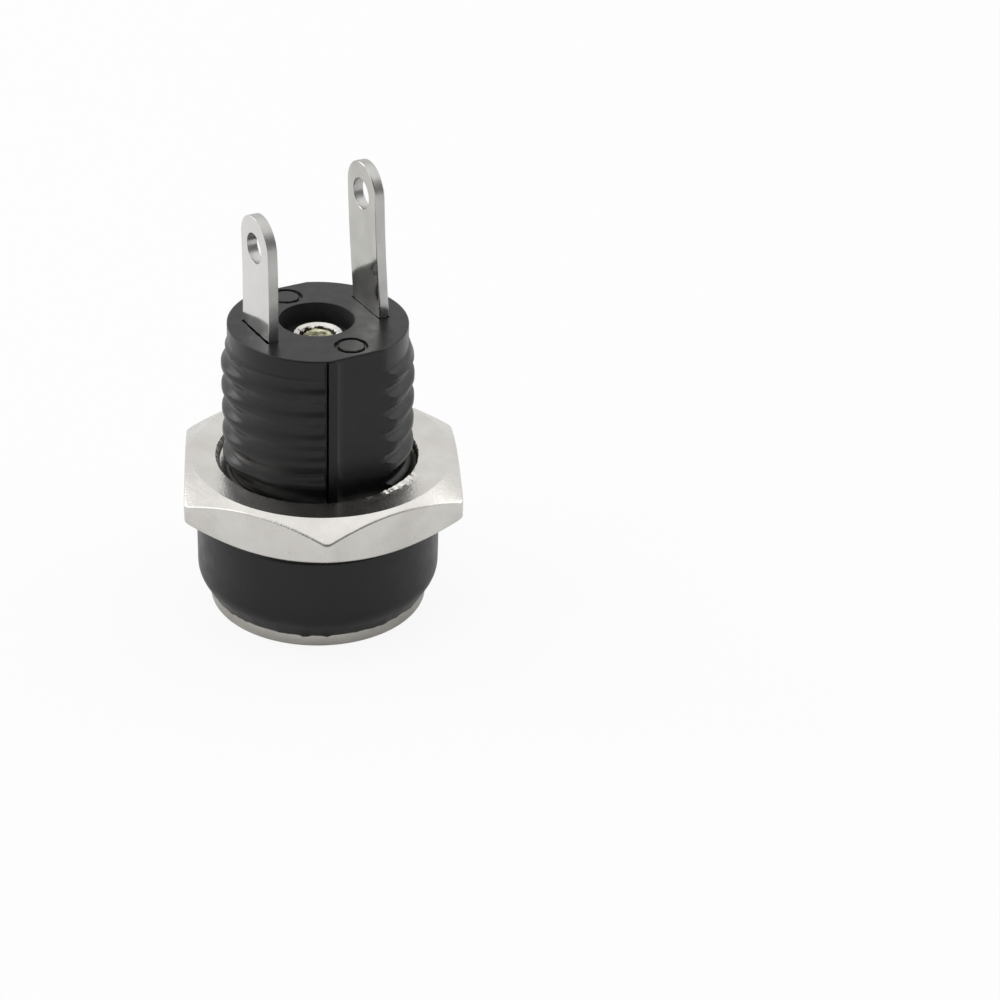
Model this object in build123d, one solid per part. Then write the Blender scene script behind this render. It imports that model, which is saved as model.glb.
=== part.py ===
from build123d import *
import math
import os

# Panel-mount DC barrel jack, standing on its front ring with the solder lugs up.
# The origin is the centre of the ring's front face, +Z is the socket's axis towards the rear,
# X is the line through the two lugs, and the flats of the shank face +Y and -Y. Sizes in mm.

# Front bushing
RING_DIA = 9.9              # exposed collar
RING_HEIGHT = 0.62          # from the front face to the housing
RING_EDGE = 0.16            # chamfer on the front outer edge
MOUTH_DIA = 7.6             # wide end of the funnel
FUNNEL_DEPTH = 1.2
SPIGOT_DIA = 8.4            # part pressed into the housing
SPIGOT_LENGTH = 1.0
PRESS_GAP = 0.01            # round and behind the spigot

# Housing outside
FLANGE_DIA = 11.0
FLANGE_HEIGHT = 4.33
FLANGE_FRONT_DIA = 10.0     # where the rounded front edge meets the ring
FLANGE_ROUND = 1.3          # length of the rounded front edge
FLANGE_EDGE = 0.1           # chamfer on the rear edge
SHANK_DIA = 7.92            # thread root and plain nose
NOSE_EDGE = 0.08
FLATS_SPAN = 7.48
STEP_OFFSET = 1.54          # from the middle of a flat to the step beside it
RELIEF_DEPTH = 0.09         # of the plain strip between step and flat, below the nose
GROOVE_WIDTH = 0.2          # dark line at the foot of the step
GROOVE_DEPTH = 0.2

# Thread on the shank, a ridge on each side for every turn
THREAD_DIA = 8.5
THREAD_PITCH = 1.1
CREST_LAND = 0.34           # width of a ridge at its crest
ROOT_LAND = 0.26            # plain width between two ridges
RIDGE_SINK = 0.1            # how far a ridge reaches into the shank
RIDGE_ARC = 160.0           # degrees, up to the flats
THREAD_START = 0.09         # from the flange's rear face down to a crest, on the +X side
NOSE_LENGTH = 0.85          # plain length behind the thread
LEAD_LENGTH = 1.25          # where the crests fade into the nose
LEAD_REACH = 1.5            # the lead cone runs on past the crest by this factor
THREAD_GAP = 0.2            # from the crests to the nut's hole

# Housing inside
BORE_DIA = 6.4              # behind the bushing
LEDGE_DEPTH = 2.95          # from the front face to the narrower bore
LEDGE_EDGE = 0.08
THROAT_DIA = 6.0
SOCKET_DEPTH = 11.2         # from the front face to the socket's floor
FLOOR_THICKNESS = 1.62      # between the socket and the rear recess
RECESS_DIA = 3.3            # rear recess round the rivet
RECESS_DEPTH = 0.95
RECESS_SHIFT = 0.15         # middle of the recess from the axis, along Y
EJECTOR_DIA = 1.48          # round marks on the rear face, each a ring groove
EJECTOR_GROOVE = 0.17
EJECTOR_DEPTH = 0.12
EJECTOR_OFFSET = 2.78
EJECTOR_TURN = 3.5          # degrees from the Y axis

# Centre pin
PIN_DIA = 2.0
PIN_SETBACK = 2.25          # from the front face to the tip
TIP_LENGTH = 0.75
TIP_FLAT_DIA = 0.6
COLLAR_DIA = 3.0
COLLAR_HEIGHT = 0.6
RIVET_DIA = 1.4             # shank through the foot and the floor
RIVET_HEAD_DIA = 2.3
RIVET_HEAD_HEIGHT = 0.36
RIVET_HEAD_EDGE = 0.1
DIMPLE_DIA = 1.1            # punched into the rivet's head
DIMPLE_DEPTH = 0.14
PIN_GAP = 0.02              # round the rivet's shank

# Stamped contacts
STRIP_WIDTH = 2.55
STRIP_THICKNESS = 0.48
STRIP_OFFSET = 2.68         # middle of a strip from the axis, along X
STRIP_SHIFT = 0.2           # middle of a strip from the axis, along Y
STRIP_GAP = 0.02            # between a strip and its slot
BEND_RADIUS = 0.4           # outside of the foot's bend
EYELET_DIA = 1.36
EYELET_SETBACK = 1.45       # from a lug's end to the middle of its eyelet
PIN_LUG_HEIGHT = 5.37       # above the rear face
PIN_LUG_LEAN = 0.6          # degrees, towards -X
SLEEVE_LUG_HEIGHT = 6.92
SLEEVE_LUG_LEAN = 2.8       # degrees, towards -X
LUG_STRAIGHT = 0.3          # upright stretch above the rear face
FOOT_RADIUS = 1.2           # round the rivet's shank
LEAF_TIP = 3.5              # from the front face to the leaf's free end
LEAF_BOW = 0.2              # how far the leaf bulges towards the plug

# Nut
NUT_FLATS = 12.25
NUT_THICKNESS = 2.25
NUT_FACE_DIA = 11.7         # flat ring inside the chamfers
NUT_CHAMFER = 31.0          # degrees
NUT_TURN = 4.7              # degrees from +X to a corner
NUT_CORNER = 0.3            # radius of the six upright edges
NUT_OFFSET = 0.19           # middle of the hexagon from its hole, along X
NUT_MOUTH = 0.1             # countersink of the nut's hole

# Places that several pieces share
SPIGOT_END = RING_HEIGHT + SPIGOT_LENGTH
FLANGE_REAR = RING_HEIGHT + FLANGE_HEIGHT
RECESS_FLOOR = SOCKET_DEPTH + FLOOR_THICKNESS
REAR_FACE = RECESS_FLOOR + RECESS_DEPTH
FOOT_UNDERSIDE = SOCKET_DEPTH - STRIP_THICKNESS
THREAD_END = REAR_FACE - NOSE_LENGTH
PAST = 1.0                  # how far a cut runs past the solid


def turned(points):
    """Solid of revolution from (radius, height) points. Its seam is on the +Y side."""
    outline = Polyline(*points, close=True)
    return revolve(Plane.YZ * make_face(outline), Axis.Z)


def rounded_start(foot, shoulder, rest):
    """Solid of revolution whose outline bends from foot to shoulder in an arc, upright at the shoulder."""
    arc = TangentArc(shoulder, foot, tangent=(0, -1))
    outline = arc + Polyline(shoulder, *rest, foot)
    return revolve(Plane.YZ * make_face(outline), Axis.Z)


def rod(diameter, bottom, top, x=0.0, y=0.0):
    """Upright cylinder."""
    return Pos(x, y, bottom) * Cylinder(diameter / 2, top - bottom, align=(Align.CENTER, Align.CENTER, Align.MIN))


def block(x0, x1, y0, y1, z0, z1):
    """Box between two corners."""
    return Pos((x0 + x1) / 2, (y0 + y1) / 2, (z0 + z1) / 2) * Box(x1 - x0, y1 - y0, z1 - z0)


def thread_ridge(side, height):
    """Right-hand helical ridge over nearly half a turn, with its middle on the +X or -X side."""
    depth = (THREAD_DIA - SHANK_DIA) / 2
    foot = (THREAD_PITCH - ROOT_LAND) / 2
    crest = CREST_LAND / 2
    splay = RIDGE_SINK * (foot - crest) / depth
    rise = THREAD_PITCH * RIDGE_ARC / 360
    helix = Helix(pitch=THREAD_PITCH, height=rise, radius=SHANK_DIA / 2)
    section = Polyline(
        (-RIDGE_SINK, -foot - splay),
        (depth, -crest),
        (depth, crest),
        (-RIDGE_SINK, foot + splay),
        close=True,
    )
    start = Plane(origin=helix @ 0, x_dir=(1, 0, 0), z_dir=helix % 0)
    ridge = sweep(start * make_face(section), path=helix, is_frenet=True)
    turn = 90 - 90 * side - RIDGE_ARC / 2
    return Pos(0, 0, height - rise / 2) * Rot(0, 0, turn) * ridge


def front_bushing():
    """Turned ring with a funnel mouth and a spigot."""
    return turned(
        [
            (MOUTH_DIA / 2, 0),
            (RING_DIA / 2 - RING_EDGE, 0),
            (RING_DIA / 2, RING_EDGE),
            (RING_DIA / 2, RING_HEIGHT),
            (SPIGOT_DIA / 2, RING_HEIGHT),
            (SPIGOT_DIA / 2, SPIGOT_END),
            (BORE_DIA / 2, SPIGOT_END),
            (BORE_DIA / 2, FUNNEL_DEPTH),
        ]
    )


def shank():
    """Shank with its ridges, the last of which fade into the plain nose."""
    depth = (THREAD_DIA - SHANK_DIA) / 2
    base = FLANGE_REAR - THREAD_PITCH
    lead = turned(
        [
            (0, base),
            (SHANK_DIA / 2 + LEAD_REACH * depth, base),
            (SHANK_DIA / 2 + LEAD_REACH * depth, THREAD_END - LEAD_REACH * LEAD_LENGTH),
            (SHANK_DIA / 2, THREAD_END),
            (0, THREAD_END),
        ]
    )
    body = turned(
        [
            (0, base),
            (SHANK_DIA / 2, base),
            (SHANK_DIA / 2, REAR_FACE - NOSE_EDGE),
            (SHANK_DIA / 2 - NOSE_EDGE, REAR_FACE),
            (0, REAR_FACE),
        ]
    )
    first = FLANGE_REAR - THREAD_START
    for half_turn in range(math.ceil(2 * (THREAD_END - first) / THREAD_PITCH)):
        side = 1 if half_turn % 2 == 0 else -1
        body += thread_ridge(side, first + half_turn * THREAD_PITCH / 2) & lead
    return body


def flat_cut():
    """What is cut away at the flat facing -Y, with the plain strip and the groove on its -X side."""
    outside = THREAD_DIA / 2 + PAST
    top = REAR_FACE + PAST
    step_height = math.sqrt((SHANK_DIA / 2) ** 2 - STEP_OFFSET**2)
    flat = block(-outside, outside, -outside, -FLATS_SPAN / 2, FLANGE_REAR, top)
    strip = block(-STEP_OFFSET, 0, -outside, 0, FLANGE_REAR, top)
    strip -= rod(SHANK_DIA - 2 * RELIEF_DEPTH, FLANGE_REAR - PAST, top + PAST)
    groove_floor = -step_height + GROOVE_DEPTH
    groove = block(-STEP_OFFSET, GROOVE_WIDTH - STEP_OFFSET, -outside, groove_floor, FLANGE_REAR, top)
    return flat + strip + groove


def socket_cut():
    """Inside of the housing: seat of the bushing, bore, ledge, keyways, floor slots and rear recess."""
    seat = SPIGOT_DIA / 2 + PRESS_GAP
    seat_end = SPIGOT_END + PRESS_GAP
    bore = turned(
        [
            (0, RING_HEIGHT - PAST),
            (seat, RING_HEIGHT - PAST),
            (seat, seat_end),
            (BORE_DIA / 2, seat_end),
            (BORE_DIA / 2, LEDGE_DEPTH),
            (THROAT_DIA / 2 + LEDGE_EDGE, LEDGE_DEPTH),
            (THROAT_DIA / 2, LEDGE_DEPTH + LEDGE_EDGE),
            (THROAT_DIA / 2, SOCKET_DEPTH),
            (0, SOCKET_DEPTH),
        ]
    )
    reach = STRIP_OFFSET + STRIP_THICKNESS / 2 + STRIP_GAP
    inner = STRIP_OFFSET - STRIP_THICKNESS / 2 - STRIP_GAP
    low = STRIP_SHIFT - STRIP_WIDTH / 2 - STRIP_GAP
    high = STRIP_SHIFT + STRIP_WIDTH / 2 + STRIP_GAP
    keyways = block(-reach, reach, low, high, SPIGOT_END, SOCKET_DEPTH)
    pin_slot = block(-reach, -inner, low, high, SOCKET_DEPTH - PAST, REAR_FACE + PAST)
    sleeve_slot = block(inner, reach, low, high, SOCKET_DEPTH - PAST, REAR_FACE + PAST)
    rivet_hole = rod(RIVET_DIA + 2 * PIN_GAP, SOCKET_DEPTH - PAST, REAR_FACE)
    recess = rod(RECESS_DIA, RECESS_FLOOR, REAR_FACE + PAST, y=RECESS_SHIFT)
    return bore + keyways + pin_slot + sleeve_slot + rivet_hole + recess


def ejector_cut():
    """Ring groove that an ejector left in the rear face."""
    bottom = REAR_FACE - EJECTOR_DEPTH
    disc = rod(EJECTOR_DIA - 2 * EJECTOR_GROOVE, bottom, REAR_FACE + PAST)
    return rod(EJECTOR_DIA, bottom, REAR_FACE + PAST) - disc


def housing():
    """Black moulding: flange, threaded shank with two flats, socket."""
    body = rounded_start(
        (FLANGE_FRONT_DIA / 2, RING_HEIGHT),
        (FLANGE_DIA / 2, RING_HEIGHT + FLANGE_ROUND),
        [
            (FLANGE_DIA / 2, FLANGE_REAR - FLANGE_EDGE),
            (FLANGE_DIA / 2 - FLANGE_EDGE, FLANGE_REAR),
            (0, FLANGE_REAR),
            (0, RING_HEIGHT),
        ],
    )
    body += shank()
    body -= flat_cut()
    body -= Rot(0, 0, 180) * flat_cut()
    body -= socket_cut()
    for turn in (EJECTOR_TURN, EJECTOR_TURN + 180):
        body -= Rot(0, 0, turn) * Pos(0, EJECTOR_OFFSET, 0) * ejector_cut()
    return body


def center_pin():
    """Turned pin with a round tip and a collar, riveted over in the rear recess."""
    head_top = RECESS_FLOOR + RIVET_HEAD_HEIGHT
    return rounded_start(
        (TIP_FLAT_DIA / 2, PIN_SETBACK),
        (PIN_DIA / 2, PIN_SETBACK + TIP_LENGTH),
        [
            (PIN_DIA / 2, FOOT_UNDERSIDE - COLLAR_HEIGHT),
            (COLLAR_DIA / 2, FOOT_UNDERSIDE - COLLAR_HEIGHT),
            (COLLAR_DIA / 2, FOOT_UNDERSIDE),
            (RIVET_DIA / 2, FOOT_UNDERSIDE),
            (RIVET_DIA / 2, RECESS_FLOOR),
            (RIVET_HEAD_DIA / 2, RECESS_FLOOR),
            (RIVET_HEAD_DIA / 2, head_top - RIVET_HEAD_EDGE),
            (RIVET_HEAD_DIA / 2 - RIVET_HEAD_EDGE, head_top),
            (DIMPLE_DIA / 2, head_top),
            (0, head_top - DIMPLE_DEPTH),
            (0, PIN_SETBACK),
        ],
    )


def lug(offset, bottom, height, lean):
    """Upright strip through the floor with a round end and an eyelet, leaning above the rear face."""
    bend = REAR_FACE + LUG_STRAIGHT
    top = REAR_FACE + height
    drift = (top - bend) * math.tan(math.radians(lean))
    near = offset - STRIP_THICKNESS / 2
    far = offset + STRIP_THICKNESS / 2
    side_view = Polyline(
        (near, bottom),
        (far, bottom),
        (far, bend),
        (far - drift, top),
        (near - drift, top),
        (near, bend),
        close=True,
    )
    strip = extrude(Plane.XZ * make_face(side_view), amount=STRIP_WIDTH / 2, both=True)
    center = top - STRIP_WIDTH / 2
    outline = Pos(0, (bottom + center) / 2) * Rectangle(STRIP_WIDTH, center - bottom)
    outline += Pos(0, center) * Circle(STRIP_WIDTH / 2)
    strip &= extrude(Plane.YZ * outline, amount=2 * STRIP_OFFSET, both=True)
    eyelet = top - EYELET_SETBACK
    eyelet_x = offset - (eyelet - bend) * math.tan(math.radians(lean))
    strip -= Pos(eyelet_x, 0, eyelet) * Rot(0, 90 - lean, 0) * Cylinder(EYELET_DIA / 2, 2 * PAST)
    return Pos(0, STRIP_SHIFT, 0) * strip


def pin_terminal():
    """Stamped strip: lug, outside bend and a foot whose eye takes the rivet's shank."""
    heel = -STRIP_OFFSET - STRIP_THICKNESS / 2
    upright = lug(-STRIP_OFFSET, FOOT_UNDERSIDE, PIN_LUG_HEIGHT, PIN_LUG_LEAN)
    root = Pos(heel + STRIP_THICKNESS / 2, STRIP_SHIFT) * Rectangle(STRIP_THICKNESS, STRIP_WIDTH)
    eye = Circle(FOOT_RADIUS)
    foot = make_hull((root + eye).edges()) - Circle(RIVET_DIA / 2 + PIN_GAP)
    foot = Pos(0, 0, FOOT_UNDERSIDE) * extrude(foot, amount=STRIP_THICKNESS)
    terminal = upright + foot
    corner = terminal.edges().filter_by(Axis.Y).group_by(Axis.Z)[0].sort_by(Axis.X)[0]
    return fillet(corner, BEND_RADIUS)


def sleeve_contact():
    """Stamped strip: lug and a bowed leaf that bears on the plug's sleeve."""
    upright = lug(STRIP_OFFSET, SOCKET_DEPTH, SLEEVE_LUG_HEIGHT, SLEEVE_LUG_LEAN)
    inner = STRIP_OFFSET - STRIP_THICKNESS / 2
    outer = STRIP_OFFSET + STRIP_THICKNESS / 2
    middle = (SOCKET_DEPTH + LEAF_TIP) / 2
    side_view = (
        ThreePointArc((inner, SOCKET_DEPTH), (inner - LEAF_BOW, middle), (inner, LEAF_TIP))
        + Line((inner, LEAF_TIP), (outer, LEAF_TIP))
        + ThreePointArc((outer, LEAF_TIP), (outer - LEAF_BOW, middle), (outer, SOCKET_DEPTH))
        + Line((outer, SOCKET_DEPTH), (inner, SOCKET_DEPTH))
    )
    leaf = extrude(Plane.XZ * make_face(side_view), amount=STRIP_WIDTH / 2, both=True)
    return upright + Pos(0, STRIP_SHIFT, 0) * leaf


def hex_nut():
    """Hexagon nut chamfered on both faces, down on the flange, its hole off centre and clear of the crests."""
    top = FLANGE_REAR + NUT_THICKNESS
    hexagon = RegularPolygon(NUT_FLATS / 2, 6, major_radius=False, rotation=NUT_TURN)
    prism = Pos(0, 0, FLANGE_REAR) * extrude(fillet(hexagon.vertices(), NUT_CORNER), NUT_THICKNESS)
    corner = NUT_FLATS / math.sqrt(3) + PAST
    drop = (corner - NUT_FACE_DIA / 2) * math.tan(math.radians(NUT_CHAMFER))
    chamfers = turned(
        [
            (0, FLANGE_REAR),
            (NUT_FACE_DIA / 2, FLANGE_REAR),
            (corner, FLANGE_REAR + drop),
            (corner, top - drop),
            (NUT_FACE_DIA / 2, top),
            (0, top),
        ]
    )
    bore = THREAD_DIA / 2 + THREAD_GAP
    hole = turned(
        [
            (0, FLANGE_REAR),
            (bore + NUT_MOUTH, FLANGE_REAR),
            (bore, FLANGE_REAR + NUT_MOUTH),
            (bore, top - NUT_MOUTH),
            (bore + NUT_MOUTH, top),
            (0, top),
        ]
    )
    return Pos(NUT_OFFSET, 0, 0) * (prism & chamfers) - hole


NODES = {
    "housing": housing,
    "front_bushing": front_bushing,
    "center_pin": center_pin,
    "pin_terminal": pin_terminal,
    "sleeve_contact": sleeve_contact,
    "hex_nut": hex_nut,
}

os.makedirs("parts", exist_ok=True)
for name, make in NODES.items():
    export_step(make(), f"parts/{name}.step")
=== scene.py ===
import math

import bmesh
import bpy
from mathutils import Matrix, Vector, noise


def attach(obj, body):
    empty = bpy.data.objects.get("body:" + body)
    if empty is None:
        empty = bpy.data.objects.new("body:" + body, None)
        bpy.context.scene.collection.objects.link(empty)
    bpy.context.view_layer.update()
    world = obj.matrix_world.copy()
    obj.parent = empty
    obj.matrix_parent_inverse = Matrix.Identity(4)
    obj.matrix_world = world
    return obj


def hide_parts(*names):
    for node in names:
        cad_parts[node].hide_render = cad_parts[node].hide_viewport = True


# Looks of a panel-mount DC barrel jack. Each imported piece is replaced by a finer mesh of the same
# size and place. The part's sizes are in mm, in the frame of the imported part, and go to metres when a
# piece is finished. Sizes of the materials, the camera, the floor and the lamps are in metres.

MM = 0.001
BODY = "root"
TINY = 1e-6
SQUARE = ((-1, -1), (1, -1), (1, 1), (-1, 1))

# Front bushing
RING_RADIUS = 4.95
RING_HEIGHT = 0.62
RING_EDGE = 0.08
MOUTH_RADIUS = 3.8
FUNNEL_DEPTH = 1.2
SPIGOT_RADIUS = 4.2
SPIGOT_END = 1.62
PRESS_GAP = 0.01
FUNNEL_ROUND = 0.08  # rounding at both ends of the funnel
RING_ROUND = 0.06  # at both sides of the ring's edge
RING_REAR_ROUND = 0.05
BORE_ROUND = 0.03  # at the rear end of the bore

# Flange
FLANGE_RADIUS = 5.5
FLANGE_FRONT_RADIUS = 5.0
TAPER_TOP = 1.52  # where the taper would meet the upright wall
TAPER_ROUND = 0.32  # reach of the rounding between the two
TAPER_ROUND_STEPS = 8
TAPER_PLACES = (0.02, 0.08, 0.16, 0.3, 0.45, 0.6)  # distances along the taper, close at the flash
WALL_STEP = 0.25
WALL_STEPS = 8
FLANGE_REAR = 4.95
FLANGE_EDGE = 0.3
FLANGE_EDGE_ROUND = 0.06
FLASH_WOBBLE = 0.05  # uneven moulding flash at the flange's front edge
FLASH_DROP = 0.16  # and how far it hangs over the ring
FLASH_FADE = 0.3  # height over which it fades out
FLASH_SCALE = 9.0
FLASH_SEED = 3.1
FLASH_DETAIL = 3  # scale of the finer flash
FLASH_DETAIL_SHARE = 0.5  # and its share

# Shank and thread
SHANK_RADIUS = 3.96
REAR_FACE = 13.77
REAR_EDGE = 0.06  # rounding of the rear face's outer edge
FACE_BORDER = 0.03  # flat strip between a rounded edge and the fill of the rear face
FLAT_OFFSET = 3.74
STEP_OFFSET = 1.54
RELIEF_RADIUS = 3.87
GROOVE_WIDTH = 0.2
GROOVE_FLOOR = 3.448  # distance of the groove's floor from the axis plane
GROOVE_LIP = 0.025  # rounding of the groove's upper edges
GROOVE_FOOT = 0.05  # and of its lower ones
GROOVE_CAP = 0.14  # wall that closes the groove at the rear face
CAP_FADE = 0.06  # height over which the groove gives way to that wall
CREST_RADIUS = 4.25
THREAD_PITCH = 1.1
CREST_HALF = 0.10
FOOT_HALF = 0.44
FLANK_SMOOTH = 0.4  # 0 gives the ridges straight flanks, 1 a smooth wave
FIRST_CREST = 4.74  # height of a crest on the +X side
THREAD_END = 12.92
LEAD_LENGTH = 0.8  # height over which the thread starts at its rear end
STEP_FADE = 0.22  # share of the ridges' depth that is left on the way to the steps
STEP_SHARE = 0.30  # and right beside them
FLAT_FADE = 0.8  # and at the flats' other edges
FADE_START = math.radians(-12)  # angle from the X axis where the ridges start to fade
FADE_ARC = math.radians(35)  # and the arc that a fade takes
STEP_SHARE_START = math.radians(48)  # where the ridges begin to go to STEP_SHARE
STEP_SHARE_ARC = math.radians(16)
FLAT_FADE_END = math.radians(67)  # angle below X where a ridge is down to FLAT_FADE
THREAD_GAP = 0.2  # from the crests to the nut's hole
THREAD_PLAY = 0.05  # between the shank's thread and the nut's
EDGE_BEAD = 0.045  # moulding flash along the inner edge of each flat
BEAD_SHAPE = ((0.1, 0.0), (0.05, 0.6), (0.0, 1.0))  # distance from that edge, share of its height
SHANK_LEVELS = 150
ARC_STEPS = 64
FLAT_STEPS = 8
EDGE_STEPS = 4  # steps round a small edge
SOLVE_STEPS = 6

# Socket and rear face
BORE_RADIUS = 3.2
LEDGE_DEPTH = 2.95
LEDGE_EDGE = 0.08
THROAT_RADIUS = 3.0
SOCKET_DEPTH = 11.2
RECESS_RADIUS = 1.65
RECESS_SHIFT = 0.15
RECESS_FLOOR = 12.82
RECESS_EDGE = 0.035
EJECTOR_RADIUS = 0.74
EJECTOR_GROOVE = 0.17
EJECTOR_DEPTH = 0.12
EJECTOR_LIP = 0.03  # depth of the worn edges of an ejector mark's groove
EJECTOR_LEAN = 0.03  # how far the groove's outer wall leans in
DISC_LEAN = 0.01  # how far the disc is worn at that depth
DISC_EDGE = 0.04  # and on top
EJECTOR_OFFSET = 2.78
EJECTOR_TURN = math.radians(3.5)
EJECTOR_WOBBLE = 0.06
EJECTOR_SCALE = 7.0
EJECTOR_STEPS = 64
SLOT_FLARE = 0.06  # uneven widening of the strips' slots at the rear face
SLOT_FLARE_DEPTH = 0.2
SLOT_LEVEL = 0.55  # even share of that widening
SLOT_UNEVEN = 0.9  # and its uneven share
SLOT_ENDS = 0.4  # share of it at the slots' ends
SLOT_SCALE = (3.0, 5.0)
SLOT_SEED = 2.3
SLOT_STEPS = 10

# Centre pin
PIN_RADIUS = 1.0
PIN_TIP = 2.25
PIN_RINGS = (5.0, 8.0)  # heights of rings along the pin's straight side
TIP_LENGTH = 0.75
TIP_FLAT_RADIUS = 0.3
COLLAR_RADIUS = 1.5
COLLAR_HEIGHT = 0.6
COLLAR_EDGE = 0.06
RIVET_RADIUS = 0.7
RIVET_GAP = 0.02
HEAD_RADIUS = 1.15
HEAD_TOP = 13.18
HEAD_EDGE = 0.12
HEAD_CENTER = 0.02  # radius of the smallest ring on the head
DISH_DEPTH = 0.30
CORE_HEIGHT = 0.17  # blunt tip in the middle of the dish
CORE_RADIUS = 0.5
MOAT_RADIUS = 0.72  # groove that parts the head's rim from its core, with painted shade on its faces
MOAT_HALF_WIDTH = 0.08
MOAT_DEPTH = 0.2
MOAT_SPREAD = 0.06
MOAT_LEVEL = 0.6  # even share of the moat
MOAT_UNEVEN = 1.4  # and its uneven share
MOAT_SCALE = 2.0
MOAT_SEED = 8.1
CRACK_DEPTH = 0.16
CRACK_TURNS = 1.5  # half the number of cracks round the head
CRACK_WANDER = 1.6
CRACK_SHARPNESS = 5
CRACK_SEED = 4.4
LUMP_HEIGHT = 0.04
LUMP_SCALE = 4.0
LUMP_SEED = 1.7
PIN_STEPS = 72  # points round the pin and the recess
TIP_STEPS = 12
HEAD_EDGE_STEPS = 5
HEAD_STEPS = 28

# Contact strips
STRIP_HALF_WIDTH = 1.275
STRIP_THICKNESS = 0.48
STRIP_OFFSET = 2.68
STRIP_SHIFT = 0.2
STRIP_GAP = 0.02
STRIP_BEVEL = 0.11
STRIP_CROWN = 0.02  # how far the face towards -X falls off at its edges
BEVEL_STEPS = 4
BEVEL_ANGLE = math.radians(50)
EYELET_RADIUS = 0.68
EYELET_SETBACK = 1.45
EYE_STEPS = 12  # steps along each quarter of an eyelet
EYE_SHARES = (0.0, 0.12, 0.5, 0.88, 1.0)  # places of the loops from the eyelet to the rim
FOOT_UNDERSIDE = 10.72
PIN_LUG_TOP = 19.14
PIN_LUG_LEAN = math.radians(0.6)
PIN_LUG_BOW = -0.04  # how far a lug bends out of its straight line
SLEEVE_LUG_TOP = 20.69
SLEEVE_LUG_LEAN = math.radians(2.8)
SLEEVE_LUG_BOW = 0.044
LUG_BEND = 14.07  # height where a lug starts to lean
FOOT_RADIUS = 1.2
FOOT_CUT = 0.02  # how much of the foot's round end is cut off
HEEL_RADIUS = 0.4
LEAF_TIP = 3.5
LEAF_BOW = 0.2
PIN_LUG_STEPS = 6
SLEEVE_LUG_STEPS = 8
BURIED_STEPS = 5  # steps along a strip inside the housing's rear wall
HEEL_STEPS = 8
RUN_STEPS = 24  # steps along the foot and along the leaf

# Nut
NUT_INRADIUS = 6.125
NUT_TOP = 7.2
NUT_FACE_RADIUS = 5.85
NUT_CHAMFER = math.tan(math.radians(31))
NUT_TURN = math.radians(4.7)
NUT_OFFSET = 0.19  # middle of the hexagon from its hole, along X
NUT_CORNER = 0.26  # reach of the rounding along each side of a corner
NUT_EDGE = 0.09  # rounding along the chamfers
NUT_MOUTH = 0.09  # how much wider the hole's mouth is than its bore
MOUTH_SHIFT = -0.05  # middle of the hole's mouth, along X
MOUTH_DEPTH = 0.16  # from the nut's face to the start of its bore
NUT_LEAD = 0.14  # plain depth of the bore, and depth over which the thread then rises
NUT_BURR = 0.12  # height of the ragged lip along one side of the hole
BURR_TOP = math.radians(300)
BURR_START = math.radians(54)  # how far the lip runs back from its highest place
BURR_END = math.radians(18)  # and on from it
BURR_LEVEL = 0.6  # even share of the lip's height
BURR_UNEVEN = 0.8  # and its uneven share
RAGGED_ELSEWHERE = 0.3  # share of the ragged edge that the hole has away from the lip
UNEVEN_ROUND = 30.0  # scale of the nut's unevenness round the hole
UNEVEN_RISE = 5.0  # and along it
NUT_SEAT_RINGS = (5.2, NUT_FACE_RADIUS)
NUT_TOP_RINGS = (NUT_FACE_RADIUS, 5.8, 5.4, 5.0)
# Rings of the lip: distance from the mouth, depth, raggedness, share of the lip's height
BURR_RINGS = [
    (0.24, 0.0, 0.03, 0.0),
    (0.05, 0.0, 0.05, 1.0),
    (0.01, 0.0, 0.09, 0.7),
    (-0.02, 0.06, 0.07, 0.0),
]
SLOPE_PLACES = (0.5, 0.08)  # of the rings on the upper chamfer; the lower one has only the first
NUT_SIDE_STEPS = 60
NUT_CORNER_STEPS = 5
NUT_EDGE_STEPS = 4
NUT_THREAD_STEPS = 36

# Sizes that follow
KEYWAY_REACH = STRIP_OFFSET + STRIP_THICKNESS / 2 + STRIP_GAP
KEYWAY_HIGH = STRIP_SHIFT + STRIP_HALF_WIDTH + STRIP_GAP
KEYWAY_LOW = STRIP_SHIFT - STRIP_HALF_WIDTH - STRIP_GAP
HEEL_TOP = FOOT_UNDERSIDE + HEEL_RADIUS
HEEL_MIDDLE = HEEL_RADIUS - STRIP_THICKNESS / 2
HEEL_LENGTH = math.pi / 2 * HEEL_MIDDLE
NUT_BORE = CREST_RADIUS + THREAD_GAP
NUT_MOUTH_RADIUS = NUT_BORE + NUT_MOUTH

# Shading
ROUND_STEPS = 144  # points round a turned piece
SHARP_ANGLE = math.radians(38.0)  # edges sharper than this stay crisp
NUT_SHARP_ANGLE = math.radians(22.0)
PALER_RECESS_PART = 1  # places in a piece's list of materials
BRASS_PART = 1
MOAT_SHADE_PART = 2
CUT_PART = 1

# Noise in the materials, in features per metre, and the values that most of it lies between
NOISE_LOW = 0.3
NOISE_HIGH = 0.7
NOISE_ROUGHNESS = 0.55
CLOUD_SCALE = 420.0
FLOW_SCALE = 1900.0
GRAIN_SCALE = 16000.0
PATCH_SCALE = 500.0
CORE_PATCH_SCALE = 1800.0
TURNED_PATCH_SCALE = 600.0
RIPPLE_SCALE = 1500.0
SPECK_SCALE = 9000.0

# Bumps in the materials, as strength and depth in metres, and gloss
FLOW_BUMP = (0.10, 0.00003)
GRAIN_BUMP = (0.16, 0.00001)
TOOL_BUMP = (0.35, 0.00002)
RIPPLE_DEPTH = 0.00006
SPECK_DEPTH = 0.00001
MOULDING_SPECULAR = 0.38

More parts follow.
